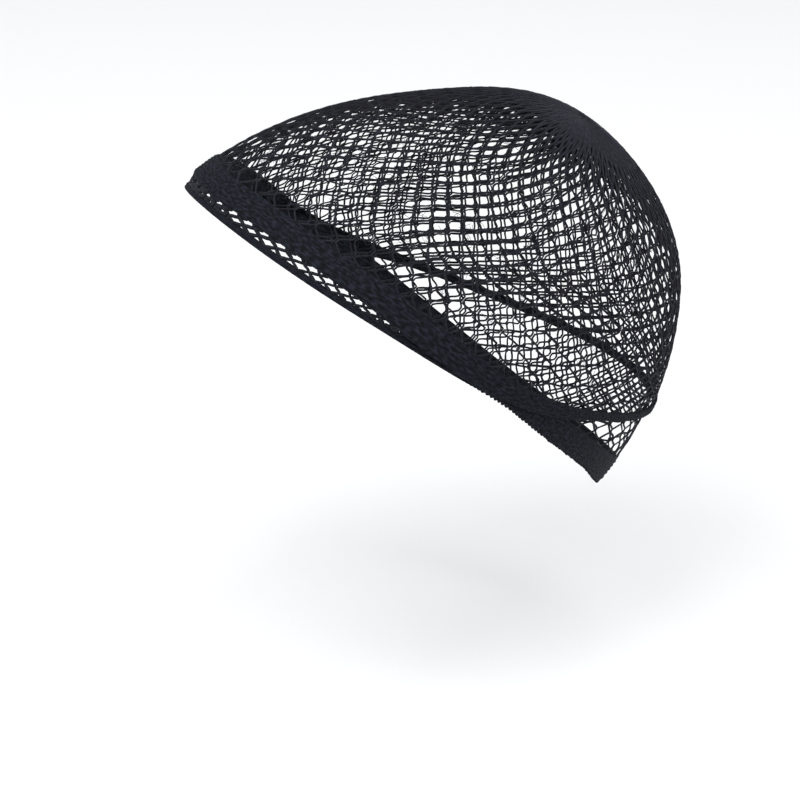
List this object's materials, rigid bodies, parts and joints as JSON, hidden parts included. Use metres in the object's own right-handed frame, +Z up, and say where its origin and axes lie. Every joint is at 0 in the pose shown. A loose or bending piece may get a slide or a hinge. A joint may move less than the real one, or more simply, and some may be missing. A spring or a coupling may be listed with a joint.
{
  "type": "wig cap",
  "caption": "Stretch wig cap of two knitted net layers with an elastic band round each rim, gathered behind the crown, in its worn form.",
  "frame": {"origin": "the top of the hollow, on the inner net's inside above the middle of the head, where a head bears", "axes": "+Z up, -Y towards the wearer's forehead, +X towards the wearer's left"},
  "size_m": [0.1502, 0.1719, 0.1389],
  "materials": {
    "net_yarn": "black textured nylon yarn, matt with a faint blue-grey sheen",
    "band_knit": "black knitted elastic, matt, ribbed lengthwise",
    "gathered_yarn": "black nylon yarn drawn into close radial pleats"
  },
  "bodies": {
    "root": {"outer_net": "net_yarn", "inner_net": "net_yarn", "outer_band": "band_knit", "inner_band": "band_knit", "crown_gather": "gathered_yarn"}
  },
  "joints": []
}
